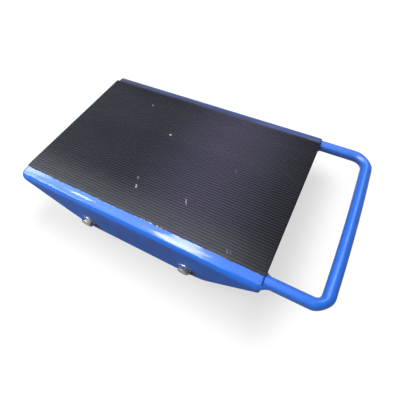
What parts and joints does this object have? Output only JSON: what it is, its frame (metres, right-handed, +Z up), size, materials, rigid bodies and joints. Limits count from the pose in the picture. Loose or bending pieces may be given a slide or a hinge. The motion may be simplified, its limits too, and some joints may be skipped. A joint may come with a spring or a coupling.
{
  "type": "machine skate",
  "caption": "Low boat-sided steel skate on paired rollers with a ribbed rubber load pad and a U-shaped bar handle, for rolling heavy machines across a floor.",
  "frame": {"origin": "on the floor, in the middle of the overall length and width, handle included", "axes": "+Z up, +X along the deck towards the handle, +Y across the deck to the left"},
  "size_m": [0.3625, 0.2172, 0.0875],
  "materials": {
    "blue_paint": "glossy enamel",
    "pad_rubber": "fine ribbed, matt",
    "zinc_steel": "bright zinc plated",
    "axle_steel": "drawn bar",
    "core_steel": "turned",
    "spring_steel": "phosphated black",
    "bearing_steel": "ground",
    "shield_steel": "pressed sheet",
    "polyurethane": "cast and turned, satin",
    "cage_nylon": "moulded"
  },
  "bodies": {
    "frame": {"deck_plate": "blue_paint", "handle": "blue_paint", "handle_welds": "blue_paint", "ribbed_pad": "pad_rubber", "axle_bolts": "zinc_steel", "lock_washers": "zinc_steel", "bearing_spacers": "axle_steel", "centre_spacers": "axle_steel", "side_spacers": "axle_steel", "front_axle": "axle_steel", "rear_axle": "axle_steel", "front_left_inner_rings": "bearing_steel", "front_right_inner_rings": "bearing_steel", "rear_left_inner_rings": "bearing_steel", "rear_right_inner_rings": "bearing_steel"},
    "front_left_roller": {"front_left_tyre": "polyurethane", "front_left_core": "core_steel", "front_left_retaining_rings": "spring_steel", "front_left_outer_rings": "bearing_steel", "front_left_shields": "shield_steel"},
    "front_left_ball_sets": {"front_left_balls": "bearing_steel", "front_left_cages": "cage_nylon"},
    "front_right_roller": {"front_right_tyre": "polyurethane", "front_right_core": "core_steel", "front_right_retaining_rings": "spring_steel", "front_right_outer_rings": "bearing_steel", "front_right_shields": "shield_steel"},
    "front_right_ball_sets": {"front_right_balls": "bearing_steel", "front_right_cages": "cage_nylon"},
    "rear_left_roller": {"rear_left_tyre": "polyurethane", "rear_left_core": "core_steel", "rear_left_retaining_rings": "spring_steel", "rear_left_outer_rings": "bearing_steel", "rear_left_shields": "shield_steel"},
    "rear_left_ball_sets": {"rear_left_balls": "bearing_steel", "rear_left_cages": "cage_nylon"},
    "rear_right_roller": {"rear_right_tyre": "polyurethane", "rear_right_core": "core_steel", "rear_right_retaining_rings": "spring_steel", "rear_right_outer_rings": "bearing_steel", "rear_right_shields": "shield_steel"},
    "rear_right_ball_sets": {"rear_right_balls": "bearing_steel", "rear_right_cages": "cage_nylon"}
  },
  "joints": [
    {"name": "front_left_spin", "type": "hinge", "parent": "frame", "child": "front_left_roller", "pos_m": [0.03675, 0.0445, 0.0375], "axis": [0, 1, 0], "continuous": true},
    {"name": "front_left_ball_spin", "type": "hinge", "parent": "frame", "child": "front_left_ball_sets", "pos_m": [0.03675, 0.0445, 0.0375], "axis": [0, 1, 0], "continuous": true},
    {"name": "front_right_spin", "type": "hinge", "parent": "frame", "child": "front_right_roller", "pos_m": [0.03675, -0.0445, 0.0375], "axis": [0, 1, 0], "continuous": true},
    {"name": "front_right_ball_spin", "type": "hinge", "parent": "frame", "child": "front_right_ball_sets", "pos_m": [0.03675, -0.0445, 0.0375], "axis": [0, 1, 0], "continuous": true},
    {"name": "rear_left_spin", "type": "hinge", "parent": "frame", "child": "rear_left_roller", "pos_m": [-0.09925, 0.0445, 0.0375], "axis": [0, 1, 0], "continuous": true},
    {"name": "rear_left_ball_spin", "type": "hinge", "parent": "frame", "child": "rear_left_ball_sets", "pos_m": [-0.09925, 0.0445, 0.0375], "axis": [0, 1, 0], "continuous": true},
    {"name": "rear_right_spin", "type": "hinge", "parent": "frame", "child": "rear_right_roller", "pos_m": [-0.09925, -0.0445, 0.0375], "axis": [0, 1, 0], "continuous": true},
    {"name": "rear_right_ball_spin", "type": "hinge", "parent": "frame", "child": "rear_right_ball_sets", "pos_m": [-0.09925, -0.0445, 0.0375], "axis": [0, 1, 0], "continuous": true}
  ],
  "couplings": [
    {"joint": "front_left_ball_spin", "follows": "front_left_spin", "ratio": 0.61848},
    {"joint": "front_right_ball_spin", "follows": "front_right_spin", "ratio": 0.61848},
    {"joint": "rear_left_ball_spin", "follows": "rear_left_spin", "ratio": 0.61848},
    {"joint": "rear_right_ball_spin", "follows": "rear_right_spin", "ratio": 0.61848}
  ]
}
